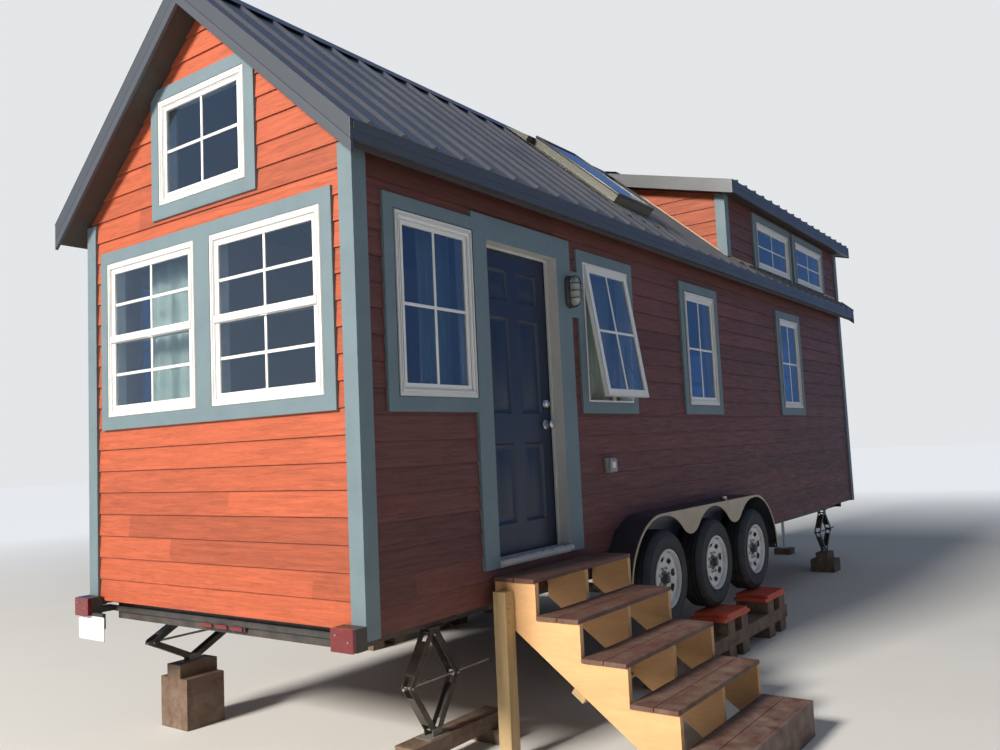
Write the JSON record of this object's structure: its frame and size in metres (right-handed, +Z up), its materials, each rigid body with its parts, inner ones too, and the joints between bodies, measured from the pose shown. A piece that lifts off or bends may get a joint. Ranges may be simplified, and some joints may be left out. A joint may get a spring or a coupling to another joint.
{
  "type": "tiny house on wheels",
  "caption": "Tiny house on a triple-axle trailer with a ribbed metal gable roof, shed dormers, lap siding and wooden entry stairs.",
  "frame": {"origin": "on the ground, under the middle of the whole outline", "axes": "+X from the tail lights to the tongue, +Y from the door side to the far side, +Z up"},
  "size_m": [10.85, 4.445, 4.8105],
  "materials": {
    "siding": "stained lap siding",
    "siding_gable": "stained lap siding",
    "trim": "painted boards",
    "roof_metal": "factory painted ribbed sheet",
    "deck": "boards and panels",
    "vinyl": "white window profile",
    "glass": "clear panes",
    "door_paint": "navy paint",
    "jamb": "painted frame",
    "nickel": "satin nickel",
    "black_steel": "black paint",
    "zinc": "zinc plated",
    "skirt": "dull tan skirt sheet",
    "lamp_metal": "dark lamp housing",
    "red_lens": "red lens",
    "plate": "blank plate",
    "pad": "orange plastic",
    "timber": "rough timber",
    "fir": "sawn fir",
    "composite": "composite boards",
    "tyre": "tyre rubber with a painted rim",
    "box_grey": "outlet cover",
    "curb": "flashing"
  },
  "bodies": {
    "house": {"trailer_frame": "black_steel", "coupler": "black_steel", "tongue_jack": "zinc", "axles": "black_steel", "fenders": "black_steel", "fender_skirts": "skirt", "light_housings": "black_steel", "light_lenses": "red_lens", "number_plate": "plate", "leveller_pads": "pad", "timber_blocks": "timber", "front_jacks": "black_steel", "floor": "deck", "rear_wall": "siding_gable", "front_wall": "siding_gable", "door_wall_rear": "siding", "door_wall_middle": "siding", "door_wall_front": "siding", "far_wall": "siding", "dormer_walls": "siding_gable", "roof_deck": "deck", "dormer_deck": "deck", "roof_sheets": "roof_metal", "ridge_cap": "roof_metal", "rake_boards": "trim", "eave_boards": "trim", "corner_boards": "trim", "window_casings": "trim", "window_frames": "vinyl", "window_panes": "glass", "awning_sash": "vinyl", "skylight_curb": "curb", "door_frame": "jamb", "porch_light": "lamp_metal", "outlet_box": "box_grey", "stair_stringers": "fir", "stair_treads": "composite", "stair_post": "fir"},
    "door": {"door_leaf": "door_paint", "door_hardware": "nickel"},
    "door_wheel_rear": {"door_wheel_rear": "tyre"},
    "door_wheel_middle": {"door_wheel_middle": "tyre"},
    "door_wheel_front": {"door_wheel_front": "tyre"},
    "door_jack_arm_a": {"door_jack_arm_a": "black_steel"},
    "door_jack_arm_b": {"door_jack_arm_b": "black_steel"},
    "door_jack_arm_c": {"door_jack_arm_c": "black_steel"},
    "door_jack_arm_d": {"door_jack_arm_d": "black_steel"},
    "door_jack_base": {"door_jack_base": "black_steel"},
    "door_jack_screw": {"door_jack_screw": "zinc"},
    "door_jack_nut": {"door_jack_nut": "zinc"},
    "far_wheel_rear": {"far_wheel_rear": "tyre"},
    "far_wheel_middle": {"far_wheel_middle": "tyre"},
    "far_wheel_front": {"far_wheel_front": "tyre"},
    "far_jack_arm_a": {"far_jack_arm_a": "black_steel"},
    "far_jack_arm_b": {"far_jack_arm_b": "black_steel"},
    "far_jack_arm_c": {"far_jack_arm_c": "black_steel"},
    "far_jack_arm_d": {"far_jack_arm_d": "black_steel"},
    "far_jack_base": {"far_jack_base": "black_steel"},
    "far_jack_screw": {"far_jack_screw": "zinc"},
    "far_jack_nut": {"far_jack_nut": "zinc"}
  },
  "joints": [
    {"name": "door_hinge", "type": "hinge", "parent": "house", "child": "door", "pos_m": [-4.1155, -0.5975, 1.136], "axis": [0, 0, 1], "range_deg": [0, 95]},
    {"name": "door_rear_wheel_spin", "type": "hinge", "parent": "house", "child": "door_wheel_rear", "pos_m": [-2.202, -0.84, 0.755], "axis": [0, 1, 0], "continuous": true},
    {"name": "door_middle_wheel_spin", "type": "hinge", "parent": "house", "child": "door_wheel_middle", "pos_m": [-1.238, -0.84, 0.755], "axis": [0, 1, 0], "continuous": true},
    {"name": "door_front_wheel_spin", "type": "hinge", "parent": "house", "child": "door_wheel_front", "pos_m": [-0.274, -0.84, 0.755], "axis": [0, 1, 0], "continuous": true},
    {"name": "far_rear_wheel_spin", "type": "hinge", "parent": "house", "child": "far_wheel_rear", "pos_m": [-2.202, 1.925, 0.755], "axis": [0, 1, 0], "continuous": true},
    {"name": "far_middle_wheel_spin", "type": "hinge", "parent": "house", "child": "far_wheel_middle", "pos_m": [-1.238, 1.925, 0.755], "axis": [0, 1, 0], "continuous": true},
    {"name": "far_front_wheel_spin", "type": "hinge", "parent": "house", "child": "far_wheel_front", "pos_m": [-0.274, 1.925, 0.755], "axis": [0, 1, 0], "continuous": true},
    {"name": "door_jack_arm_a_pivot", "type": "hinge", "parent": "house", "child": "door_jack_arm_a", "pos_m": [-4.52, -0.4895, 0.765], "axis": [0, 1, 0], "range_deg": [0, 51.24]},
    {"name": "door_jack_arm_b_pivot", "type": "hinge", "parent": "house", "child": "door_jack_arm_b", "pos_m": [-4.47, -0.4895, 0.765], "axis": [0, 1, 0], "range_deg": [-51.24, 0]},
    {"name": "door_jack_arm_c_pivot", "type": "hinge", "parent": "door_jack_arm_a", "child": "door_jack_arm_c", "pos_m": [-4.69859, -0.4895, 0.4875], "axis": [0, 1, 0], "range_deg": [-102.48, 0]},
    {"name": "door_jack_arm_d_pivot", "type": "hinge", "parent": "door_jack_arm_b", "child": "door_jack_arm_d", "pos_m": [-4.29141, -0.4895, 0.4875], "axis": [0, 1, 0], "range_deg": [0, 102.48]},
    {"name": "door_jack_base_pivot", "type": "hinge", "parent": "door_jack_arm_c", "child": "door_jack_base", "pos_m": [-4.52, -0.4895, 0.21], "axis": [0, 1, 0], "range_deg": [0, 51.24]},
    {"name": "door_jack_screw_pivot", "type": "hinge", "parent": "door_jack_arm_a", "child": "door_jack_screw", "pos_m": [-4.69859, -0.4895, 0.4875], "axis": [0, 1, 0], "range_deg": [-51.24, 0]},
    {"name": "door_jack_nut_pivot", "type": "hinge", "parent": "door_jack_arm_b", "child": "door_jack_nut", "pos_m": [-4.29141, -0.4895, 0.4875], "axis": [0, 1, 0], "range_deg": [0, 51.24]},
    {"name": "far_jack_arm_a_pivot", "type": "hinge", "parent": "house", "child": "far_jack_arm_a", "pos_m": [-4.7, 1.5745, 0.765], "axis": [0, 1, 0], "range_deg": [0, 21.13]},
    {"name": "far_jack_arm_b_pivot", "type": "hinge", "parent": "house", "child": "far_jack_arm_b", "pos_m": [-4.65, 1.5745, 0.765], "axis": [0, 1, 0], "range_deg": [-21.13, 0]},
    {"name": "far_jack_arm_c_pivot", "type": "hinge", "parent": "far_jack_arm_a", "child": "far_jack_arm_c", "pos_m": [-4.99368, 1.5745, 0.6145], "axis": [0, 1, 0], "range_deg": [-42.26, 0]},
    {"name": "far_jack_arm_d_pivot", "type": "hinge", "parent": "far_jack_arm_b", "child": "far_jack_arm_d", "pos_m": [-4.35632, 1.5745, 0.6145], "axis": [0, 1, 0], "range_deg": [0, 42.26]},
    {"name": "far_jack_base_pivot", "type": "hinge", "parent": "far_jack_arm_c", "child": "far_jack_base", "pos_m": [-4.7, 1.5745, 0.464], "axis": [0, 1, 0], "range_deg": [0, 21.13]},
    {"name": "far_jack_screw_pivot", "type": "hinge", "parent": "far_jack_arm_a", "child": "far_jack_screw", "pos_m": [-4.99368, 1.5745, 0.6145], "axis": [0, 1, 0], "range_deg": [-21.13, 0]},
    {"name": "far_jack_nut_pivot", "type": "hinge", "parent": "far_jack_arm_b", "child": "far_jack_nut", "pos_m": [-4.35632, 1.5745, 0.6145], "axis": [0, 1, 0], "range_deg": [0, 21.13]}
  ],
  "couplings": [
    {"joint": "door_jack_arm_b_pivot", "follows": "door_jack_arm_a_pivot", "ratio": -1},
    {"joint": "door_jack_arm_c_pivot", "follows": "door_jack_arm_a_pivot", "ratio": -2},
    {"joint": "door_jack_arm_d_pivot", "follows": "door_jack_arm_a_pivot", "ratio": 2},
    {"joint": "door_jack_base_pivot", "follows": "door_jack_arm_a_pivot", "ratio": 1},
    {"joint": "door_jack_screw_pivot", "follows": "door_jack_arm_a_pivot", "ratio": -1},
    {"joint": "door_jack_nut_pivot", "follows": "door_jack_arm_a_pivot", "ratio": 1},
    {"joint": "far_jack_arm_b_pivot", "follows": "far_jack_arm_a_pivot", "ratio": -1},
    {"joint": "far_jack_arm_c_pivot", "follows": "far_jack_arm_a_pivot", "ratio": -2},
    {"joint": "far_jack_arm_d_pivot", "follows": "far_jack_arm_a_pivot", "ratio": 2},
    {"joint": "far_jack_base_pivot", "follows": "far_jack_arm_a_pivot", "ratio": 1},
    {"joint": "far_jack_screw_pivot", "follows": "far_jack_arm_a_pivot", "ratio": -1},
    {"joint": "far_jack_nut_pivot", "follows": "far_jack_arm_a_pivot", "ratio": 1}
  ]
}
